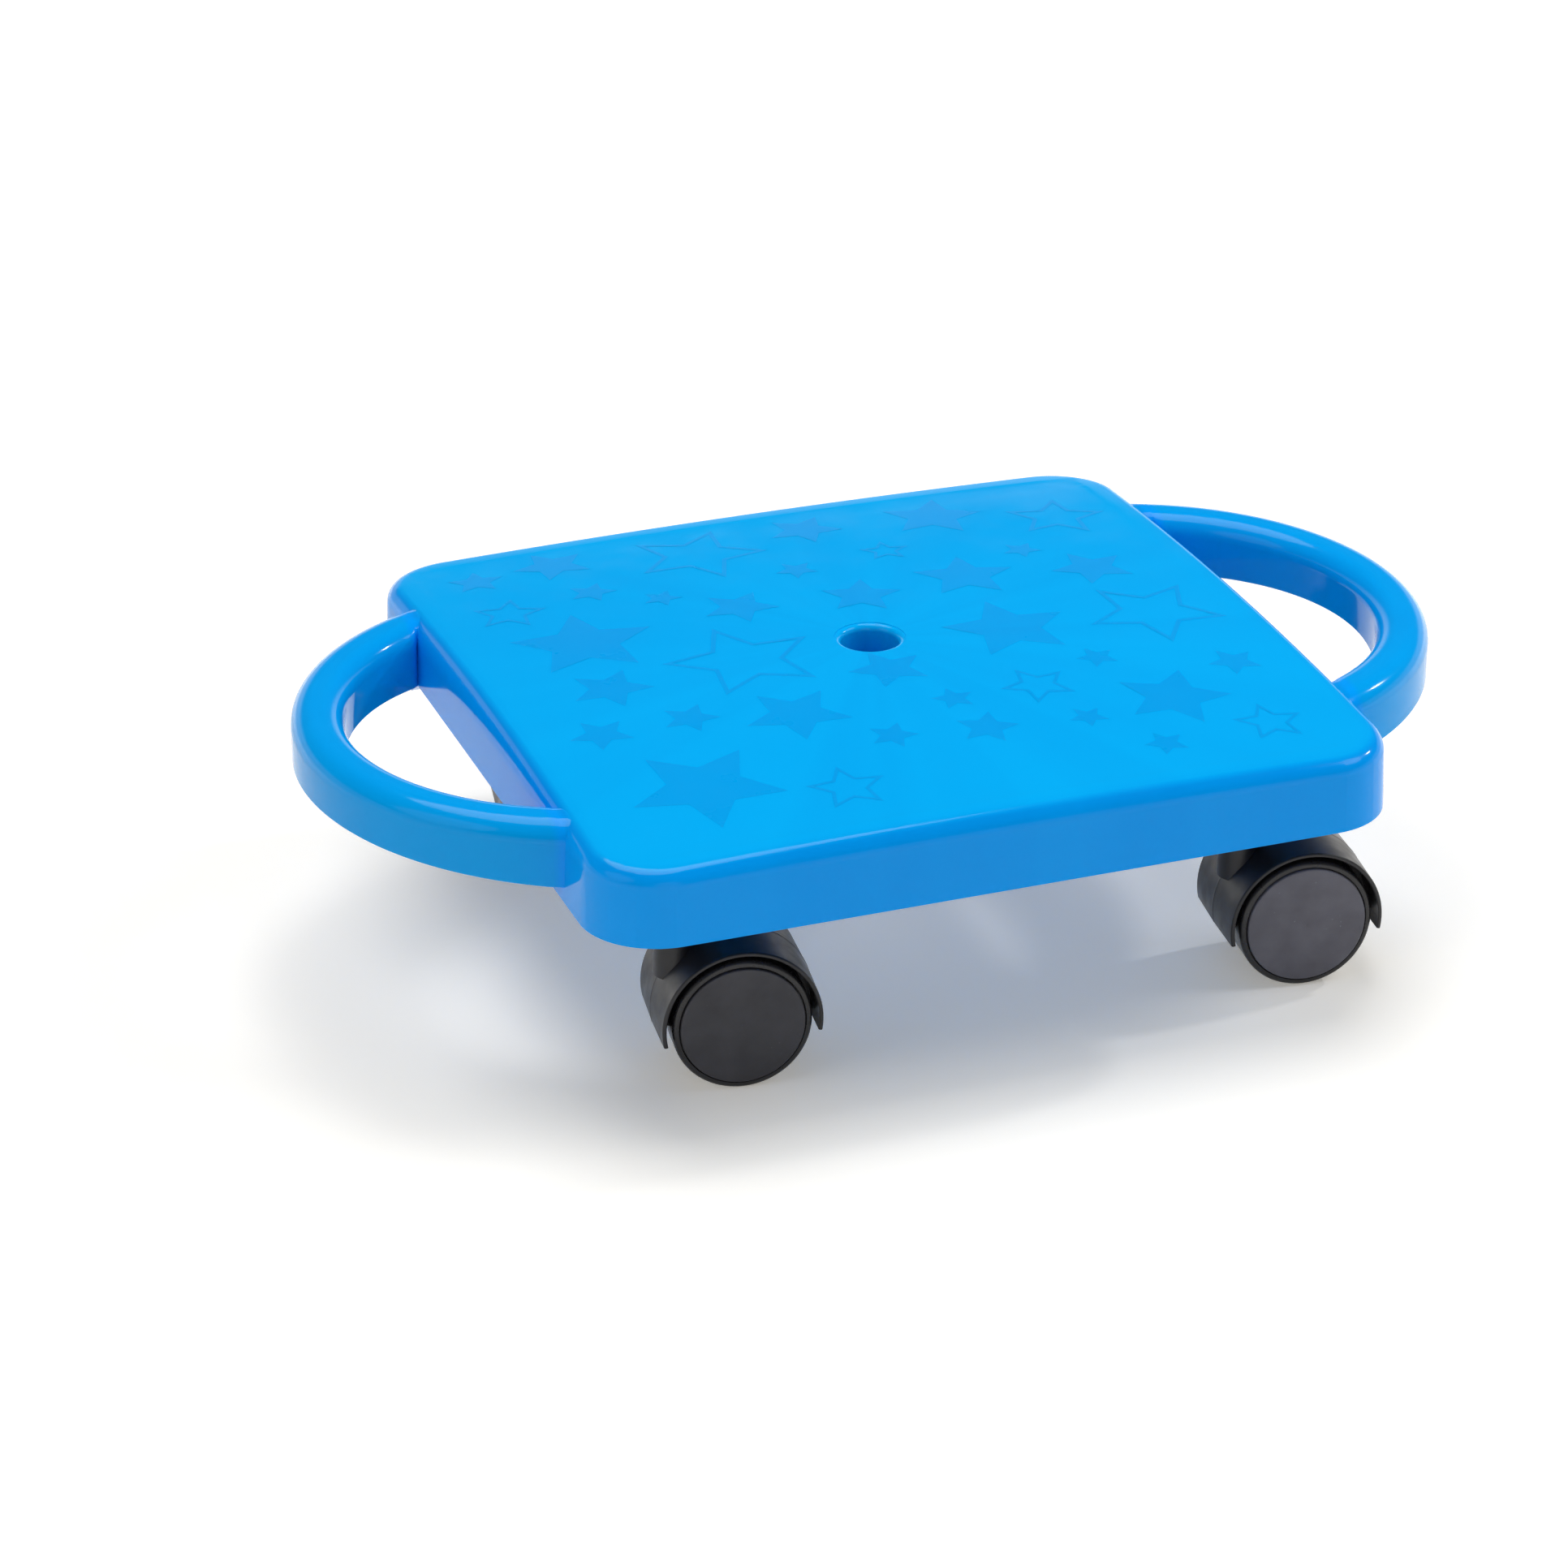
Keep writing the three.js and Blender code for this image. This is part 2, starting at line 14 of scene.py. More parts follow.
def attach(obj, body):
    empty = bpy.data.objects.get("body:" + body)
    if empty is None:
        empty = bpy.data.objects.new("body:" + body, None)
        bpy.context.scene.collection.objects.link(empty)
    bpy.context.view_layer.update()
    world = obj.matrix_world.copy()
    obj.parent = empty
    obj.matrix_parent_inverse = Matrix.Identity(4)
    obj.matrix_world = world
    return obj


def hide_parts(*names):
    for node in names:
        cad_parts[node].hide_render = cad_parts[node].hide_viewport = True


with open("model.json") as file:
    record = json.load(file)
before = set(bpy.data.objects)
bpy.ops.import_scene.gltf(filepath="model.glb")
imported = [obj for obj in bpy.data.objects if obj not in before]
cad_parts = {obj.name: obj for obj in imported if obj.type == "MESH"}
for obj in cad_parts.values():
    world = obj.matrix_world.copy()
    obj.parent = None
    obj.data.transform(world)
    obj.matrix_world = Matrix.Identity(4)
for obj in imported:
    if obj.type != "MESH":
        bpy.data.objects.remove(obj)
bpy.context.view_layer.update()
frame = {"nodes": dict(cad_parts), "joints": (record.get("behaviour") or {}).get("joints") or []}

# Deck moulding
HALF_WIDTH = 150
HALF_DEPTH = 142
CORNER = 28
RIM_FOOT = 76
WALL_TOP = 97
WALL_DRAFT = 0.6
EDGE_HEIGHT = 102
CROWN_ACROSS = 2.5
CROWN_ALONG = 6.5
EDGE_ROUNDING = 6
SKIRT = 3.2
TOP_WALL = 3.5
INNER_ROUNDING = 3
LAND = 110.6

# Sunk panel on the deck's top: where its sloped edge starts, how wide that is, and its depth
PANEL_EDGE = 10.8
PANEL_SLOPE = 4
PANEL_SINK = 0.15

# Middle hole with its collar, and the ribs below the top
HOLE_RADIUS = 10.7
HOLE_LIP = 2.5
HOLE_FOOT = 70
COLLAR_WALL = 3
COLLAR_DROP = 25
RIB = 2.4
MIDDLE_RIB_FOOT = 89.5
STEM_RIB_FOOT = 84.5

# Hand loops
LOOP_CENTRE = 112
LOOP_INSIDE = 85
LOOP_BAR = 19
LOOP_SPREAD = 2.8
LOOP_FOOT = 81.6
LOOP_SLOPE = 3.4 / 66
LOOP_TOP = 105.6
LOOP_ROUNDING = 8
LOOP_FOOT_ROUNDING = 0.5
LOOP_WALL = 3
LOOP_SWEEP = 80
ROOT_BURIED = 7
ROOT_FILLET = 3
ROOT_CUTS = (3, 2.2, 1.5, 1, 0.6, 0.3, 0.1, 0.02)
CHANNEL_GAP = 0.6

# Cut in the skirt's foot at each loop, where the hand goes through
ROOM_INNER = 141
ROOM_OUTER = 156
ROOM_HALF = 77
ROOM_SLOPE = 17

# Sockets' bosses below the deck
BOSS_RADIUS = 12.95
BOSS_FOOT = 63
BORE_RADIUS = 7.95
BORE_TOP = 87.5

# Casters: wheels and caps
TRAIL = 20.2
WHEEL = 25
WHEEL_START = 6
WHEEL_END = 19.9
TREAD_ROUNDING = 1.6
BACK_ROUNDING = 1
WHEEL_MOUTH = 22.6
WHEEL_WELL = 21.4
WELL_FLOOR = 10
HUB_TOP = 18.4
HUB_RADIUS = 7.5
AXLE_BORE = 3.3
CAP_RADIUS = 22.3
CAP_PROUD = 0.8
CAP_LET_IN = 1.2
CAP_ROUNDING = 0.6
# The cap's face from its edge to its middle: radius and depth
CAP_DISH = ((19.6, 0.02), (18.8, 0.08), (0.9, 0.12), (0.5, 0.3), (0, 0.36))

# Casters: hoods, with the angles about the axle where their two tips end
HOOD_INSIDE = 27.3
HOOD_WALL = 1.5
HOOD_HALF = 20.8
HOOD_LIP = 0.8
HOOD_FOOT = -9
HOOD_FOOT_ROUNDING = 4
STEM_TIP = 191.5
TAIL_TIP = -9.5
WEB_HALF = 5.5
WEB_OVERLAP = 0.6
EYE_RADIUS = 8
EYE_BORE_HALF = 9
WHEEL_ROOM_END = 30
SECTOR_REACH = 45
ENDS_REACH = 60
# The hood's outside from its side to its middle: how much thicker, and the way to the middle
HOOD_SWELL = ((0.24, 8), (0.36, 2), (0.37, 0.35), (0.5, 0))
NECK_RADIUS = 6.5
NECK_SPREAD = 1.4
NECK_TOP = 59.1
NECK_ROUNDING = 0.5
# The neck's flare going up: how much wider, and the height above the axle
NECK_FLARE = ((1.2, 20), (0.5, 24.5), (0.1, 27.5), (0, 29))
STEM_BORE = 3.8
STEM_BORE_FOOT = 33.7
STEM_BORE_TOP = 70

# The corners whose caps are paler, with more dust specks
PALE_CAP_CORNERS = ("front_right", "rear_left")

# How far a cutting shape reaches past what it cuts
BEYOND = 5

# Steps round each kind of curve, and cuts across the deck's top for its dome
EDGE_STEPS = 8
CORNER_STEPS = 16
CHANNEL_STEPS = 5
BORE_STEPS = 32
SECTOR_STEPS = 48
POST_STEPS = 64
ROUND_STEPS = 96
HOOD_STEPS = 120
LOOP_STEPS = 240
CROWN_CUTS = 24

# Edges sharper than these angles in degrees stay crisp
DECK_CREASE = 26
HOOD_CREASE = 32
WHEEL_CREASE = 35


def dome(x, y):
    """Height of the deck's domed top over a place in plan."""
    return (
        EDGE_HEIGHT
        + CROWN_ACROSS * (1 - (x / HALF_WIDTH) ** 2)
        + CROWN_ALONG * (1 - (y / HALF_DEPTH) ** 2)
    )


def everything(bm):
    """All of a shape's geometry, as the cutting operators want it."""
    return bm.verts[:] + bm.edges[:] + bm.faces[:]


def rounded(bm, edges, radius, segments):
    """Rounds the given edges off."""
    bmesh.ops.bevel(
        bm,
        geom=edges,
        offset=radius,
        offset_type="OFFSET",
        segments=segments,
        profile=0.5,
        affect="EDGES",
        material=-1,
        clamp_overlap=True,
    )


def blank(name, bm):
    """A mesh object, still in millimetres, for the next cut or join."""
    mesh = bpy.data.meshes.new(name)
    bm.to_mesh(mesh)
    bm.free()
    piece = bpy.data.objects.new(name, mesh)
    bpy.context.scene.collection.objects.link(piece)
    return piece


def combine(piece, other, operation):
    """Joins other to piece, cuts it away or keeps what both hold, and uses other up."""
    step = piece.modifiers.new(operation.lower(), "BOOLEAN")
    step.operation = operation
    step.solver = "MANIFOLD"
    step.object = other
    graph = bpy.context.evaluated_depsgraph_get()
    result = bpy.data.meshes.new_from_object(piece.evaluated_get(graph))
    piece.modifiers.clear()
    piece.data = result
    bpy.data.objects.remove(other)
    return piece


def finished(piece, materials, body, cad_nodes, crease):
    """Turns a piece into metres, smooths it up to its creases, and sets it on its body."""
    mesh = piece.data
    mesh.transform(Matrix.Scale(0.001, 4))
    mesh.materials.clear()
    for material in materials:
        mesh.materials.append(material)
    mesh.shade_smooth()
    if crease:
        mesh.set_sharp_from_angle(angle=math.radians(crease))
        soft = piece.modifiers.new("soft_shading", "WEIGHTED_NORMAL")
        soft.keep_sharp = True
        soft.weight = 50
    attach(piece, body)
    if cad_nodes:
        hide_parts(*cad_nodes)
    return piece


def box_shape(low, high):
    """A block between two corners."""
    bm = bmesh.new()
    bmesh.ops.create_cube(bm, size=1)
    size = [b - a for a, b in zip(low, high)]
    middle = [(a + b) / 2 for a, b in zip(low, high)]
    bmesh.ops.scale(bm, vec=size, verts=bm.verts)
    bmesh.ops.translate(bm, vec=middle, verts=bm.verts)
    return bm


def turned(profile, steps):
    """A solid of revolution about Z through the given (radius, height) pairs."""
    bm = bmesh.new()
    corners = [bm.verts.new((r, 0, z)) for r, z in profile]
    chain = [bm.edges.new(pair) for pair in zip(corners, corners[1:])]
    bmesh.ops.spin(
        bm,
        geom=corners + chain,
        cent=(0, 0, 0),
        axis=(0, 0, 1),
        dvec=(0, 0, 0),
        angle=math.tau,
        steps=steps,
        use_merge=True,
        use_duplicate=False,
    )
    bmesh.ops.remove_doubles(bm, verts=bm.verts, dist=0.001)
    bmesh.ops.recalc_face_normals(bm, faces=bm.faces)
    return bm


def quarter(radius, centre, start, steps):
    """Points of a quarter round, counter-clockwise from the given angle in degrees."""
    points = []
    for i in range(steps + 1):
        angle = math.radians(start + 90 * i / steps)
        points.append((centre[0] + radius * math.cos(angle), centre[1] + radius * math.sin(angle)))
    return points


def highest(bm):
    """The large level face at the very top."""
    return max(bm.faces, key=lambda f: (round(f.calc_center_median().z, 3), f.calc_area()))


def deck_block(inset, top, rounding, foot, panelled):
    """The deck's plan outline as a block, with its corners and its top edge rounded."""
    half_x, half_y = HALF_WIDTH - inset, HALF_DEPTH - inset
    bm = box_shape((-half_x, -half_y, foot), (half_x, half_y, top))
    upright = [e for e in bm.edges if abs(e.verts[0].co.z - e.verts[1].co.z) > 1]
    rounded(bm, upright, CORNER - inset, CORNER_STEPS)
    rounded(bm, list(highest(bm).edges), rounding, EDGE_STEPS)
    if panelled:
        for width in (PANEL_EDGE - rounding, PANEL_SLOPE):
            bmesh.ops.inset_region(bm, faces=[highest(bm)], thickness=width, use_even_offset=True)
        highest(bm).material_index = 1
    for axis, half in ((0, HALF_WIDTH), (1, HALF_DEPTH)):
        for i in range(1, CROWN_CUTS):
            place, normal = Vector((0, 0, 0)), Vector((0, 0, 0))
            place[axis] = half * (2 * i / CROWN_CUTS - 1)
            normal[axis] = 1
            bmesh.ops.bisect_plane(
                bm, geom=everything(bm), dist=0.001, plane_co=place, plane_no=normal
            )
    return bm


def crowned(bm, rounding, drop):
    """Raises a block's level top into the dome, and lets its skirt stand out towards its foot."""
    for v in bm.verts:
        if v.co.z > WALL_TOP:
            share = min((v.co.z - WALL_TOP) / rounding, 1)
            v.co.z = WALL_TOP + share * (dome(v.co.x, v.co.y) - drop - WALL_TOP)
        else:
            out = WALL_DRAFT * min((WALL_TOP - v.co.z) / (WALL_TOP - RIM_FOOT), 1)
            v.co.x *= 1 + out / HALF_WIDTH
            v.co.y *= 1 + out / HALF_DEPTH
    panel = {v for f in bm.faces if f.material_index == 1 for v in f.verts}
    for v in panel:
        v.co.z -= PANEL_SINK
    return bm


def loop_arc(profile, cut):
    """A hand loop's bar or channel: a section spun in plan, warped to the loop's outline.

    Its inner side is flared into a small fillet where it meets the skirt, and it is cut off at the
    given distance from the board's middle.
    """
    bm = bmesh.new()
    corners = [bm.verts.new((LOOP_CENTRE + r, 0, z)) for r, z in profile]
    ring = [bm.edges.new((a, b)) for a, b in zip(corners, corners[1:] + corners[:1])]
    sweep = math.radians(LOOP_SWEEP)
    centre = Vector((LOOP_CENTRE, 0, 0))
    bmesh.ops.rotate(bm, cent=centre, matrix=Matrix.Rotation(-sweep, 3, "Z"), verts=corners)
    bmesh.ops.spin(
        bm,
        geom=corners + ring,
        cent=centre,
        axis=(0, 0, 1),
        dvec=(0, 0, 0),
        angle=2 * sweep,
        steps=LOOP_STEPS,
        use_merge=False,
        use_duplicate=False,
    )
    outside = LOOP_INSIDE + LOOP_BAR + LOOP_SPREAD
    for v in bm.verts:
        way = v.co - centre
        reach = math.hypot(way.x, way.y)
        share = (reach - LOOP_INSIDE) / LOOP_BAR
        slant = LOOP_SPREAD * way.y / reach
        outer = math.sqrt(outside**2 - slant**2) - LOOP_SPREAD * way.x / reach
        scale = (LOOP_INSIDE + share * (outer - LOOP_INSIDE)) / reach
        v.co.x = LOOP_CENTRE + way.x * scale
        v.co.y = way.y * scale
        if v.co.z < LOOP_FOOT + 1:
            v.co.z += LOOP_SLOPE * (v.co.x - HALF_WIDTH)
    for step in ROOT_CUTS:
        bmesh.ops.bisect_plane(
            bm,
            geom=everything(bm),
            dist=0.0001,
            plane_co=(HALF_WIDTH + step, 0, 0),
            plane_no=(1, 0, 0),
        )
    for v in bm.verts:
        reach = math.hypot(v.co.x - LOOP_CENTRE, v.co.y)
        share = min(max((reach - LOOP_INSIDE) / LOOP_BAR, 0), 1)
        fade = min(max((LOOP_TOP - v.co.z) / LOOP_ROUNDING, 0), 1)
        near = min(max(HALF_WIDTH + ROOT_FILLET - v.co.x, 0), ROOT_FILLET)
        flare = (share - 1) * fade * (ROOT_FILLET - math.sqrt(ROOT_FILLET**2 - near**2))
        v.co.y += math.copysign(flare, v.co.y)
    bmesh.ops.bisect_plane(
        bm,
        geom=everything(bm),
        dist=0.001,
        plane_co=(cut, 0, 0),
        plane_no=(1, 0, 0),
        clear_inner=True,
    )
    bmesh.ops.edgeloop_fill(bm, edges=[e for e in bm.edges if e.is_boundary])
    bmesh.ops.recalc_face_normals(bm, faces=bm.faces)
    return bm


def loop_bar():
    """The solid bar of a hand loop, its roots buried in the skirt."""
    low, high = LOOP_INSIDE, LOOP_INSIDE + LOOP_BAR
    shoulder = LOOP_TOP - LOOP_ROUNDING
    outer = quarter(LOOP_ROUNDING, (high - LOOP_ROUNDING, shoulder), 0, EDGE_STEPS)
    inner = quarter(LOOP_ROUNDING, (low + LOOP_ROUNDING, shoulder), 90, EDGE_STEPS)
    off = LOOP_FOOT_ROUNDING
    foot = [(low, LOOP_FOOT + off), (low + off, LOOP_FOOT)]
    foot += [(high - off, LOOP_FOOT), (high, LOOP_FOOT + off)]
    return loop_arc(foot + outer + inner, HALF_WIDTH - ROOT_BURIED)


def loop_channel():
    """The hollow that is open below, inside a loop's bar."""
    low, high = LOOP_INSIDE + LOOP_WALL, LOOP_INSIDE + LOOP_BAR - LOOP_WALL
    top = LOOP_TOP - LOOP_WALL
    round_off = LOOP_ROUNDING - LOOP_WALL
    outer = quarter(round_off, (high - round_off, top - round_off), 0, CHANNEL_STEPS)
    inner = quarter(round_off, (low + round_off, top - round_off), 90, CHANNEL_STEPS)
    foot = [(low, LOOP_FOOT - BEYOND), (high, LOOP_FOOT - BEYOND)]
    return loop_arc(foot + outer + inner, HALF_WIDTH + CHANNEL_GAP)


def hand_room():
    """The cut in the skirt's foot between a loop's two roots, with sloped ends."""
    bm = box_shape((ROOM_INNER, -ROOM_HALF, RIM_FOOT - BEYOND), (ROOM_OUTER, ROOM_HALF, LOOP_FOOT))
    for v in bm.verts:
        if v.co.z < RIM_FOOT:
            v.co.y += math.copysign(ROOM_SLOPE, v.co.y)
    return bm


def mirrored(bm, across=(-1, 1, 1)):
    """The shape's mirror image, left for right unless another axis is given."""
    bmesh.ops.scale(bm, vec=across, verts=bm.verts)
    bmesh.ops.reverse_faces(bm, faces=bm.faces)
    return bm


def rib(start, end, foot):
    """A straight rib in plan between two points, from a height up into the deck's top."""
    run = end - start
    bm = box_shape((0, -RIB / 2, foot), (run.length, RIB / 2, LAND))
    heading = Matrix.Rotation(math.atan2(run.y, run.x), 3, "Z")
    bmesh.ops.rotate(bm, cent=(0, 0, 0), matrix=heading, verts=bm.verts)
    bmesh.ops.translate(bm, vec=(start.x, start.y, 0), verts=bm.verts)
    return bm


def pillar(radius, foot, top, steps, x=0, y=0):
    """An upright round bar between two heights."""
    bm = turned([(0, foot), (radius, foot), (radius, top), (0, top)], steps)
    bmesh.ops.translate(bm, vec=(x, y, 0), verts=bm.verts)
    return bm


def below_the_top(stems):
    """Ribs, bosses and the middle hole's collar, trimmed to the inside of the moulding."""
    half_x, half_y = HALF_WIDTH - SKIRT / 2, HALF_DEPTH - SKIRT / 2
    start = HOLE_RADIUS + COLLAR_WALL / 2
    collar_foot = LAND - TOP_WALL - COLLAR_DROP
    inside = blank("inside", pillar(HOLE_RADIUS + COLLAR_WALL, collar_foot, LAND, POST_STEPS))
    for x, y in ((half_x, 0), (-half_x, 0), (0, half_y), (0, -half_y)):
        end = Vector((x, y))
        combine(inside, blank("rib", rib(end.normalized() * start, end, MIDDLE_RIB_FOOT)), "UNION")
    for x, y in stems:
        stem = Vector((x, y))
        side = Vector((math.copysign(half_x, x), y))
        edge = Vector((x, math.copysign(half_y, y)))
        boss = pillar(BOSS_RADIUS, BOSS_FOOT, LAND, POST_STEPS, x, y)
        combine(inside, blank("rib", rib(stem.normalized() * start, stem, STEM_RIB_FOOT)), "UNION")
        combine(inside, blank("web", rib(stem, side, RIM_FOOT)), "UNION")
        combine(inside, blank("web", rib(stem, edge, RIM_FOOT)), "UNION")
        combine(inside, blank("boss", boss), "UNION")
    foot = BOSS_FOOT - BEYOND
    block = deck_block(SKIRT / 2, WALL_TOP + INNER_ROUNDING, INNER_ROUNDING, foot, False)
    room = crowned(block, INNER_ROUNDING, TOP_WALL / 2)
    return combine(inside, blank("room", room), "INTERSECT")


def middle_hole():
    """What is cut away for the middle hole, with its rounded lip."""
    lip = quarter(HOLE_LIP, (HOLE_RADIUS + HOLE_LIP, LAND - HOLE_LIP), 90, EDGE_STEPS)
    sides = [(0, HOLE_FOOT), (HOLE_RADIUS, HOLE_FOOT)] + lip[::-1]
    top = [(HOLE_RADIUS + HOLE_LIP, LAND + BEYOND), (0, LAND + BEYOND)]
    return turned(sides + top, ROUND_STEPS)


def moulded_deck(stems, materials):
    """The whole deck moulding, with its two hand loops and all that is below its top."""
    block = deck_block(0, WALL_TOP + EDGE_ROUNDING, EDGE_ROUNDING, RIM_FOOT, True)
    deck = blank("moulded_deck", crowned(block, EDGE_ROUNDING, 0))
    combine(deck, blank("bar", loop_bar()), "UNION")
    combine(deck, blank("bar", mirrored(loop_bar())), "UNION")
    foot = RIM_FOOT - BEYOND
    block = deck_block(SKIRT, WALL_TOP + INNER_ROUNDING, INNER_ROUNDING, foot, False)
    combine(deck, blank("hollow", crowned(block, INNER_ROUNDING, TOP_WALL)), "DIFFERENCE")
    for name, shape in (("channel", loop_channel), ("room", hand_room)):
        combine(deck, blank(name, shape()), "DIFFERENCE")
        combine(deck, blank(name, mirrored(shape())), "DIFFERENCE")
    combine(deck, below_the_top(stems), "UNION")
    for x, y in stems:
        bore = pillar(BORE_RADIUS, BOSS_FOOT - BEYOND, BORE_TOP, POST_STEPS, x, y)
        combine(deck, blank("bore", bore), "DIFFERENCE")
    combine(deck, blank("hole", middle_hole()), "DIFFERENCE")
    return finished(deck, materials, "board", ["deck"], DECK_CREASE)


def laid_down(bm, side=1):
    """Turns a shape made about Z so that its axis lies along Y, to one side or the other."""
    lay = Matrix.Rotation(-math.pi / 2, 3, "X")
    bmesh.ops.rotate(bm, cent=(0, 0, 0), matrix=lay, verts=bm.verts)
    if side < 0:
        mirrored(bm, (1, -1, 1))
    return bm


def on_axle(bm, side, stem, turn):
    """Sets a shape made about Z on its caster's axle."""
    laid_down(bm, side)
    bmesh.ops.translate(bm, vec=(TRAIL, 0, WHEEL), verts=bm.verts)
    bmesh.ops.rotate(bm, cent=(0, 0, 0), matrix=Matrix.Rotation(turn, 3, "Z"), verts=bm.verts)
    bmesh.ops.translate(bm, vec=(stem[0], stem[1], 0), verts=bm.verts)
    return bm


def wheel_shape():
    """One wheel about Z: a barrel on a disc, with a hub, open outwards for its cap."""
    tread = (WHEEL - TREAD_ROUNDING, WHEEL_END - TREAD_ROUNDING)
    back = (WHEEL - BACK_ROUNDING, WHEEL_START + BACK_ROUNDING)
    profile = [(AXLE_BORE, WHEEL_START)]
    profile += quarter(BACK_ROUNDING, back, 270, 4) + quarter(TREAD_ROUNDING, tread, 0, 5)
    profile += [(WHEEL_MOUTH + 0.25, WHEEL_END), (WHEEL_MOUTH, WHEEL_END - 0.3)]
    profile += [(WHEEL_MOUTH, HUB_TOP), (WHEEL_WELL, HUB_TOP), (WHEEL_WELL, WELL_FLOOR)]
    profile += [(HUB_RADIUS, WELL_FLOOR), (HUB_RADIUS, HUB_TOP)]
    profile += [(AXLE_BORE, HUB_TOP), (AXLE_BORE, WHEEL_START)]
    return turned(profile, ROUND_STEPS)


def cap_shape():
    """The flat cover disc let into the wheel's open side, with a shallow dished middle."""
    outer, inner = WHEEL_END + CAP_PROUD, WHEEL_END - CAP_LET_IN
    edge = quarter(CAP_ROUNDING, (CAP_RADIUS - CAP_ROUNDING, outer - CAP_ROUNDING), 0, 4)
    profile = [(0, inner), (CAP_RADIUS - 0.2, inner), (CAP_RADIUS, inner + 0.2)] + edge
    profile += [(radius, outer - depth) for radius, depth in CAP_DISH]
    return turned(profile, ROUND_STEPS)


def hood_outline(reach, start, end):
    """A sector about the axle in the X and Z plane, from one angle to the other."""
    bm = bmesh.new()
    centre = bm.verts.new((0, 0, 0))
    tip = bm.verts.new((reach * math.cos(start), 0, reach * math.sin(start)))
    edge = bm.edges.new((centre, tip))
    bmesh.ops.spin(
        bm,
        geom=[centre, tip, edge],
        cent=(0, 0, 0),
        axis=(0, -1, 0),
        dvec=(0, 0, 0),
        angle=end - start,
        steps=SECTOR_STEPS,
        use_merge=False,
        use_duplicate=False,
    )
    bmesh.ops.remove_doubles(bm, verts=bm.verts, dist=0.001)
    return bm


def slab(bm, half):
    """Gives a flat outline in the X and Z plane a thickness of half on either side."""
    bmesh.ops.translate(bm, vec=(0, -half, 0), verts=bm.verts)
    sheet = bmesh.ops.extrude_face_region(bm, geom=bm.faces[:])
    lifted = [g for g in sheet["geom"] if isinstance(g, bmesh.types.BMVert)]
    bmesh.ops.translate(bm, vec=(0, 2 * half, 0), verts=lifted)
    bmesh.ops.recalc_face_normals(bm, faces=bm.faces)
    return bm


def hood_skin(start, end):
    """The hood's curved skin: a wall turned about the axle, cut to its sector and its ends."""
    outside = HOOD_INSIDE + HOOD_WALL
    half = [(HOOD_INSIDE, -HOOD_HALF + 0.3), (HOOD_INSIDE + 0.3, -HOOD_HALF)]
    half += quarter(HOOD_LIP, (outside - HOOD_LIP, -HOOD_HALF + HOOD_LIP), 270, 4)
    half += [(outside + extra, -way) for extra, way in HOOD_SWELL]
    half += [(r, -y) for r, y in reversed(half)][1:] + [half[0]]
    skin = blank("skin", turned(half, HOOD_STEPS))
    skin.data.transform(Matrix.Rotation(-math.pi / 2, 4, "X"))
    sector = slab(hood_outline(SECTOR_REACH, start, end), HOOD_HALF + BEYOND)
    combine(skin, blank("sector", sector), "INTERSECT")
    width = HOOD_HALF + 1
    ends = box_shape((-ENDS_REACH, -width, HOOD_FOOT), (ENDS_REACH, width, ENDS_REACH))
    along = [e for e in ends.edges if abs(e.verts[0].co.x - e.verts[1].co.x) > 1]
    rounded(ends, along, HOOD_FOOT_ROUNDING, 6)
    return combine(skin, blank("ends", ends), "INTERSECT")


def hood_neck():
    """The hood's upright neck round the stem, widening down into the skin."""
    start, top = HOOD_INSIDE / 2, NECK_TOP - WHEEL
    neck = [(0, start), (NECK_RADIUS + NECK_SPREAD, start)]
    neck += [(NECK_RADIUS + extra, height) for extra, height in NECK_FLARE]
    neck += [(NECK_RADIUS, top - NECK_ROUNDING), (NECK_RADIUS - NECK_ROUNDING, top), (0, top)]
    post = turned(neck, POST_STEPS)
    bmesh.ops.translate(post, vec=(-TRAIL, 0, 0), verts=post.verts)
    return post


def hood_shape():
    """The caster's hood about its axle: skin, web between the wheels, neck and bores."""
    start, end = math.radians(TAIL_TIP), math.radians(STEM_TIP)
    hood = hood_skin(start, end)
    combine(hood, blank("neck", hood_neck()), "UNION")
    for side in (1, -1):
        room = laid_down(pillar(HOOD_INSIDE, WEB_HALF, WHEEL_ROOM_END, HOOD_STEPS), side)
        combine(hood, blank("wheel_room", room), "DIFFERENCE")
    web = blank("web", slab(hood_outline(HOOD_INSIDE + WEB_OVERLAP, start, end), WEB_HALF))
    eye = pillar(EYE_RADIUS, -WEB_HALF, WEB_HALF, SECTOR_STEPS)
    combine(web, blank("eye", laid_down(eye)), "UNION")
    combine(hood, web, "UNION")
    bore = pillar(STEM_BORE, STEM_BORE_FOOT - WHEEL, STEM_BORE_TOP - WHEEL, BORE_STEPS, -TRAIL)
    combine(hood, blank("bore", bore), "DIFFERENCE")
    eye = pillar(AXLE_BORE, -EYE_BORE_HALF, EYE_BORE_HALF, BORE_STEPS)
    return combine(hood, blank("eye", laid_down(eye)), "DIFFERENCE")


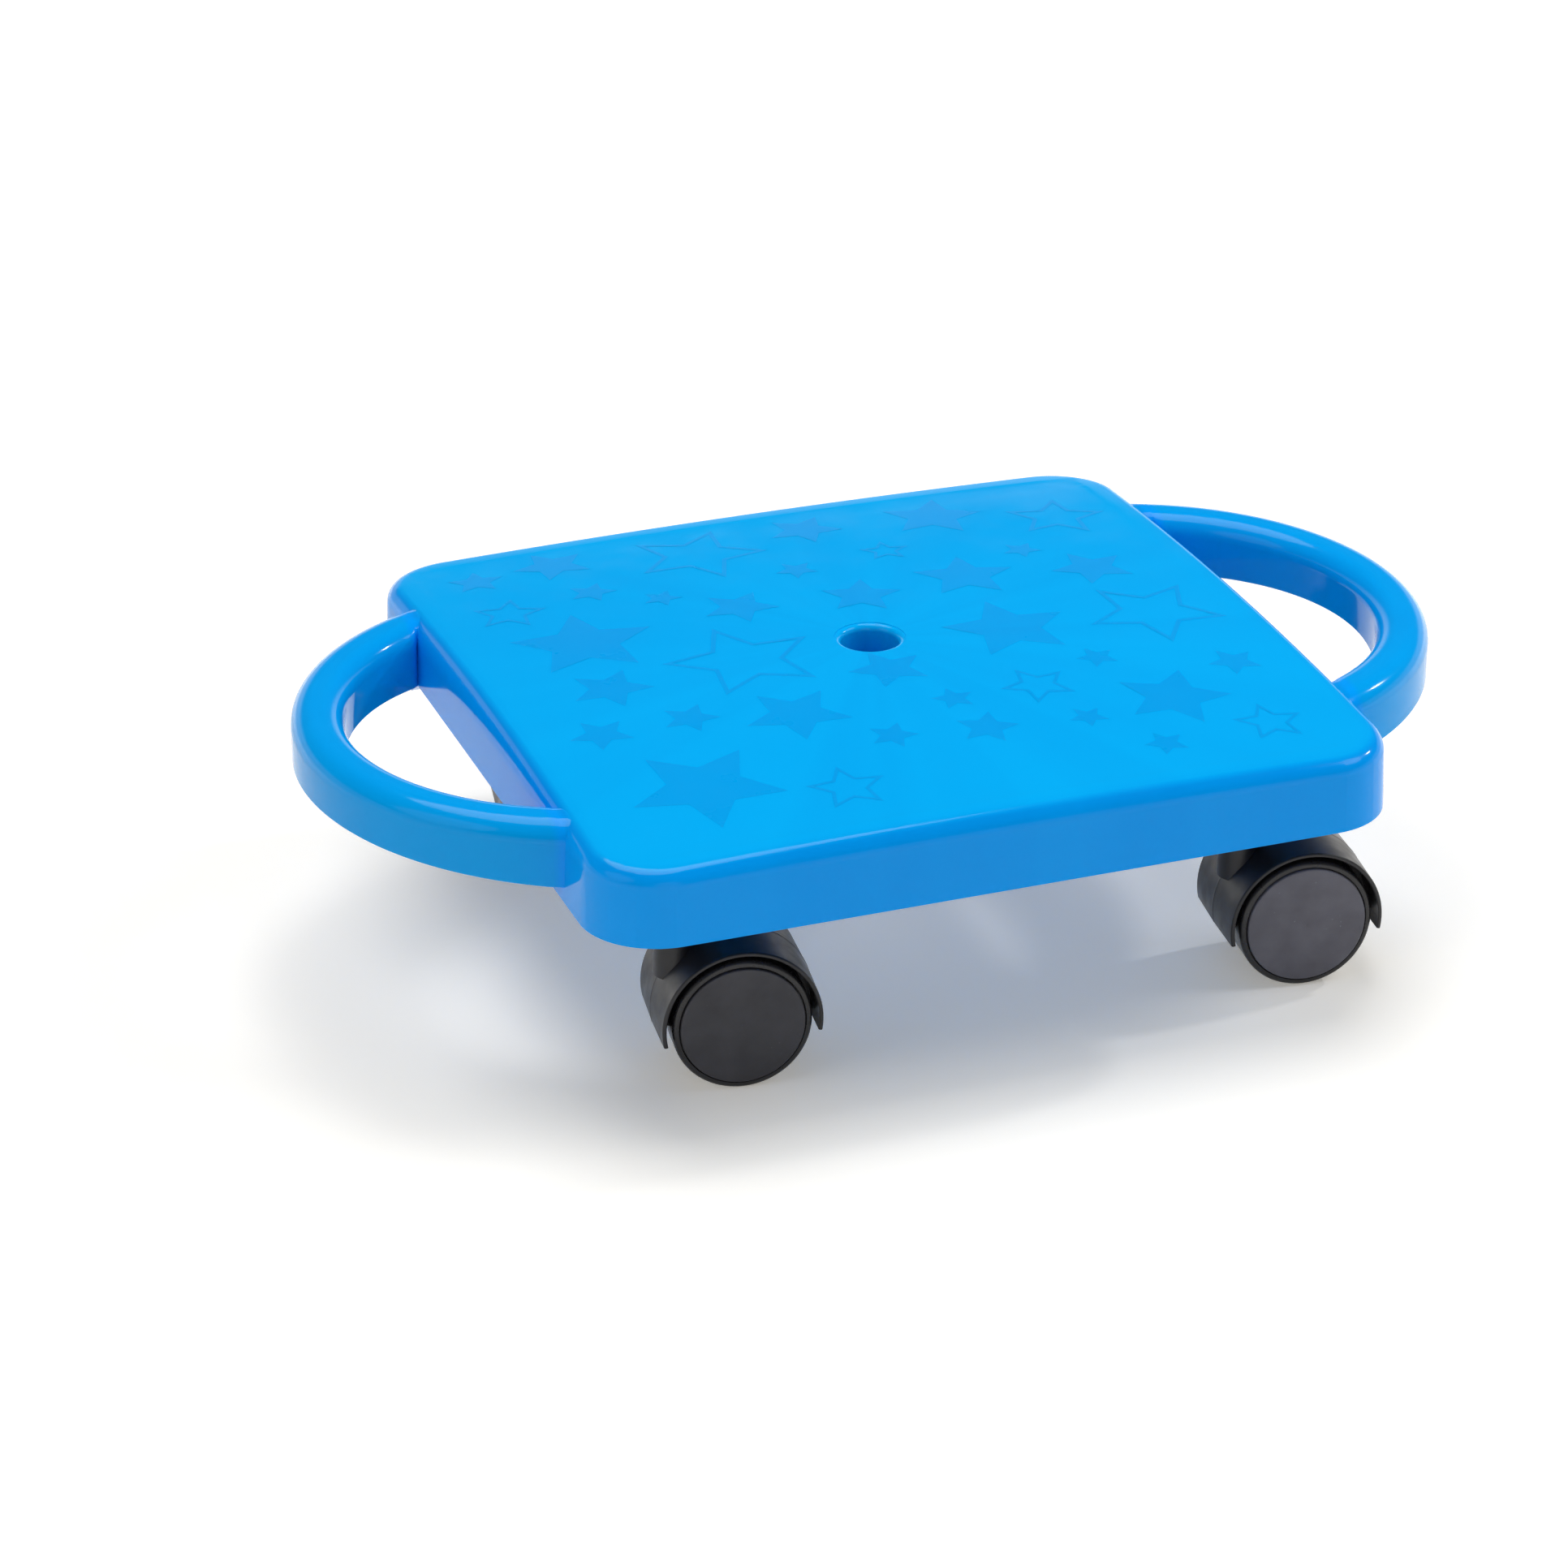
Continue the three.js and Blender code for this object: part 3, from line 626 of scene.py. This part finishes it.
def caster(corner, stem, turn, looks):
    """The hood, wheels and caps of one corner's caster."""
    body = f"{corner}_caster"
    hood = hood_shape()
    hood.name = f"{corner}_hood_moulding"
    place = Matrix.Translation((stem[0], stem[1], 0)) @ Matrix.Rotation(turn, 4, "Z")
    hood.data.transform(place @ Matrix.Translation((TRAIL, 0, WHEEL)))
    finished(hood, [looks["charcoal"]], body, [f"{corner}_hood"], HOOD_CREASE)
    for which in ("inner", "outer"):
        outward = 1 if stem[1] > 0 else -1
        side = outward if which == "outer" else -outward
        rim = blank(f"{corner}_{which}_rim", on_axle(wheel_shape(), side, stem, turn))
        cover = blank(f"{corner}_{which}_cover", on_axle(cap_shape(), side, stem, turn))
        roller = f"{corner}_{which}_roller"
        # The caps at these corners are paler and carry more dust specks
        look = "pale_dusty_cap" if corner in PALE_CAP_CORNERS else "cap"
        wheel_node, cap_node = f"{corner}_{which}_wheel", f"{corner}_{which}_cap"
        finished(rim, [looks["wheel"]], roller, [wheel_node], WHEEL_CREASE)
        finished(cover, [looks[look]], roller, [cap_node], WHEEL_CREASE)


# The panel's stars: their waists, how deep they lie and how thick they are, and their lines' widths
STAR_WAIST = 0.48
INLAY_DEPTH = 0.2
INLAY = 0.28
LARGE_STAR = 20
WIDE_LINE = 1.7
FINE_LINE = 1.2
# Each star's place in plan, distance from middle to tip, and the way one tip points
SOLID_STARS = [
    (-117.2, 109.2, 10.8, 80), (-85.6, 113.2, 15.5, 104.6), (-81, 79.7, 9.5, 59),
    (-58.9, 63.2, 7.7, 54), (-35, 43.6, 14.9, 50.3), (-99.1, 34.1, 27.5, 82.2),
    (-84, -40, 10.9, 56), (-47.4, -50.2, 20, 116), (-95.7, -89.4, 28.5, 46.1),
    (-3.3, -27.7, 15.2, 99.5), (11, 37.2, 15.7, -1.5), (54.5, 41.4, 19.7, 5.5),
    (85, 58.9, 7.8, 46.5), (51.2, -9.4, 24.8, 88.2), (72, -42.9, 8.1, 102),
    (118.8, -60.6, 10.3, 106.6), (50.1, -85.5, 7.4, 41.7), (85.8, -80, 21.2, 61),
    (68.8, -111.4, 8.2, 103),
]
FAINT_STARS = [
    (-102.6, -6.8, 15.7, 55), (-117.3, -40.4, 11.8, 38.5), (-21.2, -76.8, 9.3, 58.8),
    (-2.6, 70, 8.4, 110.7), (15.5, 110.5, 15.1, 52.3), (67.1, 105.4, 20.3, 69),
    (103.3, 33.2, 16.2, 102.6), (9.7, -57.7, 8.1, 90.3), (12.6, -81.9, 11.7, 65.9),
]
OUTLINE_STARS = [
    (-115.8, 72.5, 14.4, -1.5), (-49.7, -2.2, 30, 93.6), (-49.4, -106.6, 14.8, 86.6),
    (-31.8, 100.5, 27.1, 58.9), (36, 76.5, 10, 80.5), (112, 88.2, 20.2, 71.4),
    (108.2, -12, 27.4, 45.6), (42.6, -57.2, 14.2, 103.9), (111.2, -107.2, 13.6, 86.3),
]


def star_plate(x, y, radius, turn, line, shade):
    """One star as a thin inlay that follows the dome, solid or only a line of the given width."""
    bm = bmesh.new()
    bmesh.ops.create_circle(bm, cap_ends=True, cap_tris=False, segments=10, radius=radius)
    rim = sorted(bm.verts, key=lambda v: math.atan2(v.co.y, v.co.x))
    for v in rim[::2]:
        v.co *= STAR_WAIST
    tip = math.atan2(rim[1].co.y, rim[1].co.x)
    inner = bm.faces[:]
    if line:
        bmesh.ops.inset_region(
            bm, faces=inner, thickness=line, use_boundary=True, use_even_offset=True
        )
        bmesh.ops.delete(bm, geom=inner, context="FACES")
    else:
        bmesh.ops.poke(bm, faces=inner)
    for face in bm.faces:
        face.material_index = shade
    long_edges = [e for e in bm.edges if e.calc_length() > 5]
    bmesh.ops.subdivide_edges(bm, edges=long_edges, cuts=2, use_grid_fill=True)
    bmesh.ops.triangulate(bm, faces=[f for f in bm.faces if len(f.verts) > 4])
    turned_by = Matrix.Rotation(math.radians(turn) - tip, 3, "Z")
    bmesh.ops.rotate(bm, cent=(0, 0, 0), matrix=turned_by, verts=bm.verts)
    bmesh.ops.translate(bm, vec=(x, y, 0), verts=bm.verts)
    for v in bm.verts:
        v.co.z = dome(v.co.x, v.co.y) - PANEL_SINK - INLAY_DEPTH
    top = bmesh.ops.extrude_face_region(bm, geom=bm.faces[:])["geom"]
    lifted = [g for g in top if isinstance(g, bmesh.types.BMVert)]
    bmesh.ops.translate(bm, vec=(0, 0, INLAY), verts=lifted)
    bmesh.ops.recalc_face_normals(bm, faces=bm.faces)
    return bm


def star_pattern(materials):
    """All stars as one piece, shaded as the dome below them is."""
    pattern = bmesh.new()
    for star in SOLID_STARS:
        add_to(pattern, star_plate(*star, 0, 0))
    for star in FAINT_STARS:
        add_to(pattern, star_plate(*star, 0, 1))
    for star in OUTLINE_STARS:
        line = WIDE_LINE if star[2] > LARGE_STAR else FINE_LINE
        add_to(pattern, star_plate(*star, line, 2))
    stars = finished(blank("panel_stars", pattern), materials, "board", (), None)
    upright = []
    for v in stars.data.vertices:
        across = 2 * CROWN_ACROSS * v.co.x / HALF_WIDTH**2
        along = 2 * CROWN_ALONG * v.co.y / HALF_DEPTH**2
        upright.append(Vector((across, along, 0.001)).normalized())
    stars.data.normals_split_custom_set_from_vertices(upright)


def add_to(whole, part):
    """Puts a small mesh into a larger one."""
    mesh = bpy.data.meshes.new("part")
    part.to_mesh(mesh)
    part.free()
    whole.from_mesh(mesh)
    bpy.data.meshes.remove(mesh)


class Finish:
    """Builds one procedural material on the piece's Object coordinates."""

    def __init__(self, name, roughness, metallic=0, specular=0.5):
        self.material = bpy.data.materials.new(name)
        self.material.use_nodes = True
        tree = self.material.node_tree
        self.nodes, self.links = tree.nodes, tree.links
        self.shader = self.nodes["Principled BSDF"]
        self.shader.inputs["Roughness"].default_value = roughness
        self.shader.inputs["Metallic"].default_value = metallic
        self.shader.inputs["Specular IOR Level"].default_value = specular
        self.place = self.nodes.new("ShaderNodeTexCoord").outputs["Object"]

    def stretched(self, scale):
        mapping = self.nodes.new("ShaderNodeMapping")
        mapping.inputs["Scale"].default_value = scale
        self.links.new(self.place, mapping.inputs["Vector"])
        return mapping.outputs["Vector"]

    def noise(self, scale, detail, place=None):
        node = self.nodes.new("ShaderNodeTexNoise")
        node.inputs["Scale"].default_value = scale
        node.inputs["Detail"].default_value = detail
        self.links.new(place or self.place, node.inputs["Vector"])
        return node.outputs["Fac"]

    def specks(self, scale):
        node = self.nodes.new("ShaderNodeTexVoronoi")
        node.inputs["Scale"].default_value = scale
        self.links.new(self.place, node.inputs["Vector"])
        return node.outputs["Distance"]

    def between(self, value, stops):
        """A colour ramp through the given (position, colour) stops."""
        ramp = self.nodes.new("ShaderNodeValToRGB")
        self.links.new(value, ramp.inputs["Fac"])
        points = ramp.color_ramp.elements
        while len(points) < len(stops):
            points.new(0.5)
        for point, (at, colour) in zip(points, stops):
            point.position = at
            point.color = (*colour, 1)
        return ramp.outputs["Color"]

    def mixed(self, share, first, second, how="MIX"):
        """Two colours laid over each other. Share and colours are values or sockets."""
        mix = self.nodes.new("ShaderNodeMix")
        mix.data_type = "RGBA"
        mix.blend_type = how
        if isinstance(share, float):
            mix.inputs["Factor"].default_value = share
        else:
            self.links.new(share, mix.inputs["Factor"])
        for socket, value in ((mix.inputs["A"], first), (mix.inputs["B"], second)):
            if isinstance(value, tuple):
                socket.default_value = (*value, 1)
            else:
                self.links.new(value, socket)
        return mix.outputs["Result"]

    def range(self, value, low, high, start=0.0, end=1.0):
        """Maps start to low and end to high."""
        node = self.nodes.new("ShaderNodeMapRange")
        node.inputs["From Min"].default_value = start
        node.inputs["From Max"].default_value = end
        node.inputs["To Min"].default_value = low
        node.inputs["To Max"].default_value = high
        self.links.new(value, node.inputs["Value"])
        return node.outputs["Result"]

    def maths(self, operation, first, second):
        node = self.nodes.new("ShaderNodeMath")
        node.operation = operation
        self.links.new(first, node.inputs[0])
        self.links.new(second, node.inputs[1])
        return node.outputs[0]

    def vector(self, operation, value, second=None):
        node = self.nodes.new("ShaderNodeVectorMath")
        node.operation = operation
        self.links.new(value, node.inputs[0])
        if second:
            node.inputs[1].default_value = second
        return node.outputs["Value" if operation == "LENGTH" else "Vector"]

    def colour(self, value):
        self.links.new(value, self.shader.inputs["Base Color"])

    def roughness(self, value):
        self.links.new(value, self.shader.inputs["Roughness"])

    def relief(self, *layers):
        """Bumps laid over each other, each a (height, depth in metres, strength)."""
        last = None
        for height, depth, strength in layers:
            bump = self.nodes.new("ShaderNodeBump")
            bump.inputs["Distance"].default_value = depth
            bump.inputs["Strength"].default_value = strength
            self.links.new(height, bump.inputs["Height"])
            if last:
                self.links.new(last, bump.inputs["Normal"])
            last = bump.outputs["Normal"]
        self.links.new(last, self.shader.inputs["Normal"])


def srgb(red, green, blue):
    """A colour given as it shows on screen, 0 to 255, as linear light."""
    def light(c):
        c /= 255
        return c / 12.92 if c <= 0.04045 else ((c + 0.055) / 1.055) ** 2.4
    return light(red), light(green), light(blue)


# Fineness of the surfaces' patterns, in features per metre or so
FLOW_RAYS = 4
CLOUDS = 9
PALE_PATCHES = 60
SKIN = 500
MOTTLE = 70
DUST_PATCHES = 90
SMEARS = 120
DUST = 420
WAVES = 500
SPARKS = 2600
PLATING = 160
TURNING = 900
# Depths of the surfaces' reliefs, in metres
SKIN_DEPTH = 0.00001
SPARK_DEPTH = 0.00006
WAVE_DEPTH = 0.00004
TURNING_DEPTH = 0.00002
# Tones that the deck's blue is multiplied by, along the flow rays and in soft clouds
FLOW_TONES = [(0.4, (0.95, 0.96, 0.98)), (0.6, (1, 1, 1))]
CLOUD_TONES = [(0.35, (0.97, 0.98, 0.99)), (0.65, (1, 1, 1))]
# The border's blue over a band from inside the deck's outline to beyond it, half its width in
# metres: top, then painted shade: darker on the rounding, deeper blue on the skirt and loops
EDGE_BAND = 0.010
PAINTED_EDGE_SHADE = [
    (0.05, srgb(2, 176, 248)), (0.22, srgb(2, 173, 247)), (0.36, srgb(1, 152, 240)),
    (0.49, srgb(1, 160, 253)), (0.56, srgb(1, 160, 253)), (0.7, srgb(1, 163, 242)),
]


def from_the_edge(finish):
    """Distance in metres outwards from the deck's outline in plan, by its corners' radius."""
    middle = ((HALF_WIDTH - CORNER) / 1000, (HALF_DEPTH - CORNER) / 1000, 0)
    flat = finish.vector("ABSOLUTE", finish.stretched((1, 1, 0)))
    flat = finish.vector("SUBTRACT", flat, middle)
    flat = finish.vector("MAXIMUM", flat, (0, 0, 0))
    reach = finish.vector("LENGTH", flat)
    return finish.range(reach, -CORNER / 1000, 1 - CORNER / 1000)


def blue_plastic(name, shade, gloss, shine, with_painted_shade=False):
    """Deck plastic: even blue with pale flow rays from the gate at the middle, and a fine skin.

    With edge shade, it takes its tones from its distance to the deck's outline instead of one
    shade:
    painted shade, darker on the edge's rounding and a deeper blue on the skirt and the loops.
    """
    finish = Finish(name, gloss, specular=shine)
    rays = finish.vector("NORMALIZE", finish.stretched((1, 1, 0)))
    flow = finish.between(finish.noise(FLOW_RAYS, 2, rays), FLOW_TONES)
    clouds = finish.between(finish.noise(CLOUDS, 2), CLOUD_TONES)
    # Painted shade: darker blue on the edge's rounding, deeper blue on the skirt and the loops
    if with_painted_shade:
        place = finish.range(from_the_edge(finish), 0.0, 1.0, -EDGE_BAND, EDGE_BAND)
        shade = finish.between(place, PAINTED_EDGE_SHADE)
    streaked = finish.mixed(1.0, shade, flow, "MULTIPLY")
    finish.colour(finish.mixed(1.0, streaked, clouds, "MULTIPLY"))
    patches = finish.noise(PALE_PATCHES, 4)
    finish.roughness(finish.range(patches, gloss - 0.04, gloss + 0.05, 0.3, 0.7))
    finish.relief((finish.noise(SKIN, 2), SKIN_DEPTH, 0.1))
    return finish.material


def spark_plastic(name, shade, gloss, grain, dust):
    """Charcoal caster plastic: a spark-eroded grain, cloudy shine and pale specks of dust."""
    finish = Finish(name, gloss, specular=0.4)
    cloud = finish.noise(MOTTLE, 4)
    deep, light = tuple(c * 0.8 for c in shade), tuple(c * 1.15 for c in shade)
    base = finish.between(cloud, [(0.3, deep), (0.7, light)])
    pale = tuple(min(c * 2.6 + 0.05, 1) for c in shade)
    spots = finish.range(finish.specks(DUST), dust, 0.0, 0.05, 0.16)
    dusty = finish.range(finish.noise(DUST_PATCHES, 2), 0.0, 1.0, 0.55, 0.7)
    spots = finish.mixed(dusty, (0, 0, 0), spots)
    finish.colour(finish.mixed(spots, base, pale))
    finish.roughness(finish.range(finish.noise(SMEARS, 4), gloss - 0.07, gloss + 0.09, 0.3, 0.7))
    sparks, waves = finish.noise(SPARKS, 2), finish.noise(WAVES, 3)
    finish.relief((sparks, SPARK_DEPTH, grain), (waves, WAVE_DEPTH, grain / 2))
    return finish.material


def drawn_steel(name):
    """Zinc plated steel: fine turning lines round the pin and duller patches."""
    finish = Finish(name, 0.32, metallic=1)
    patches = finish.noise(PLATING, 4)
    finish.colour(finish.between(patches, [(0.3, srgb(150, 153, 158)), (0.7, srgb(196, 199, 203))]))
    finish.roughness(finish.range(patches, 0.24, 0.45, 0.3, 0.7))
    lines = finish.noise(TURNING, 2, finish.stretched((0.15, 0.15, 3)))
    finish.relief((lines, TURNING_DEPTH, 0.4))
    return finish.material


# The floor's own white to the camera: weak up to NEAR metres from the middle, full from FAR on
NEAR_LEVEL = 0.26
NEAR = 0.4
FAR = 0.8


def floor_white():
    """White paper: white to the camera and in reflections, and it keeps the board's shadow."""
    finish = Finish("floor_paper", 0.9, specular=0.1)
    fibre = finish.noise(3, 3)
    finish.colour(finish.between(fibre, [(0.3, (0.94, 0.917, 0.873)), (0.7, (0.95, 0.927, 0.883))]))
    rays = finish.nodes.new("ShaderNodeLightPath")
    seen = finish.maths("MAXIMUM", rays.outputs["Is Camera Ray"], rays.outputs["Is Glossy Ray"])
    seen = finish.maths("MAXIMUM", seen, rays.outputs["Is Transmission Ray"])
    reach = finish.vector("LENGTH", finish.place)
    level = finish.maths("MULTIPLY", seen, finish.range(reach, NEAR_LEVEL, 1.0, NEAR, FAR))
    finish.shader.inputs["Emission Color"].default_value = (1, 0.97, 0.89, 1)
    finish.links.new(level, finish.shader.inputs["Emission Strength"])
    return finish.material


# Lamps: place in metres, disc's width and power
LAMPS = (
    ("key", (1.9, -0.6, 2.15), 1.25, 18),
    ("glint", (2.4, 0.25, 1.6), 0.2, 13),
    ("overhead", (-0.1, 0.8, 2.95), 2.4, 67),
    ("left", (-2.3, -0.5, 1.5), 1.8, 9),
    ("front", (-0.3, -2.7, 1.2), 1.8, 7.5),
)
LAMP_TARGET = Vector((0, 0, 0.06))
# How steeply up the backdrop's white band ends, and where the dark ceiling starts
BAND_TOP = 0.165
CEILING = 0.26
CAMERA_PLACE = (-0.6057, -1.538, 0.8605)
CAMERA_TARGET = Vector((-0.0361, -0.0067, 0.06))
CAMERA_LENS = 113.6
FLOOR_HALF = 9000


def aimed(name, data, place, target):
    """A lamp or camera that stands at a place and looks at another."""
    piece = bpy.data.objects.new(name, data)
    piece.location = place
    piece.rotation_euler = (target - piece.location).to_track_quat("-Z", "Y").to_euler()
    bpy.context.scene.collection.objects.link(piece)
    return piece


def backdrop_light():
    """A white band low all round, and a dark ceiling that keeps the gloss off the top."""
    world = bpy.data.worlds.new("studio")
    world.use_nodes = True
    nodes, links = world.node_tree.nodes, world.node_tree.links
    way = nodes.new("ShaderNodeTexCoord")
    split = nodes.new("ShaderNodeSeparateXYZ")
    links.new(way.outputs["Generated"], split.inputs[0])
    ramp = nodes.new("ShaderNodeValToRGB")
    links.new(split.outputs["Z"], ramp.inputs["Fac"])
    low, high = ramp.color_ramp.elements
    low.position, low.color = BAND_TOP, (1, 1, 1, 1)
    high.position, high.color = CEILING, (0.05, 0.05, 0.052, 1)
    links.new(ramp.outputs["Color"], nodes["Background"].inputs["Color"])
    nodes["Background"].inputs["Strength"].default_value = 1
    return world


def studio():
    """Floor, backdrop light, lamps and the camera at the photo's angle."""
    sheet = bmesh.new()
    bmesh.ops.create_grid(sheet, x_segments=8, y_segments=8, size=FLOOR_HALF)
    floor = blank("floor", sheet)
    floor.data.transform(Matrix.Scale(0.001, 4))
    floor.data.materials.append(floor_white())
    for name, place, width, power in LAMPS:
        data = bpy.data.lights.new(name, "AREA")
        data.shape = "DISK"
        data.size = width
        data.energy = power
        aimed(name, data, place, LAMP_TARGET)
    data = bpy.data.cameras.new("photo_view")
    data.sensor_width = 36
    data.lens = CAMERA_LENS
    scene = bpy.context.scene
    scene.world = backdrop_light()
    scene.camera = aimed("photo_view", data, CAMERA_PLACE, CAMERA_TARGET)
    scene.view_settings.view_transform = "Standard"


# Each caster's stem in plan and the way its hood trails at rest, read from the CAD's joints
places, turns = {}, {}
for joint in frame["joints"]:
    if joint["name"].endswith("_swivel"):
        corner = joint["name"].removesuffix("_swivel")
        places[corner] = [1000 * p for p in joint["pos_m"][:2]]
    elif joint["name"].endswith("_outer_roll"):
        corner = joint["name"].removesuffix("_outer_roll")
        turns[corner] = math.atan2(-joint["axis"][0], joint["axis"][1])

looks = {
    # The border's blue carries painted shade on its rounding, skirt and loops
    "border": blue_plastic("deck_blue_gloss", None, 0.1, 0.13, True),
    "panel": blue_plastic("deck_blue_panel", srgb(2, 186, 247), 0.3, 0.05),
    "star": blue_plastic("star_blue", srgb(1, 162, 236), 0.3, 0.05),
    "faint_star": blue_plastic("faint_star_blue", srgb(2, 174, 241), 0.3, 0.05),
    "star_line": blue_plastic("star_line_blue", srgb(0, 146, 223), 0.3, 0.05),
    "charcoal": spark_plastic("hood_charcoal", srgb(31, 31, 35), 0.36, 0.4, 0.12),
    "wheel": spark_plastic("wheel_satin_black", srgb(34, 34, 37), 0.28, 0.15, 0.08),
    "cap": spark_plastic("cap_matt_charcoal", srgb(56, 56, 62), 0.5, 0.3, 0.25),
    "pale_dusty_cap": spark_plastic("cap_pale_dusty_charcoal", srgb(94, 94, 104), 0.5, 0.3, 0.6),
    "steel": drawn_steel("zinc_steel"),
    "socket": spark_plastic("socket_grey", srgb(84, 86, 90), 0.45, 0.3, 0.2),
}

moulded_deck(list(places.values()), [looks["border"], looks["panel"]])
star_pattern([looks[name] for name in ("star", "faint_star", "star_line")])
for corner, stem in places.items():
    caster(corner, stem, turns[corner], looks)
    for part in ("socket", "kingpin", "grip_ring", "axle"):
        node = frame["nodes"][f"{corner}_{part}"]
        node.data.materials.clear()
        node.data.materials.append(looks["socket" if part == "socket" else "steel"])
studio()
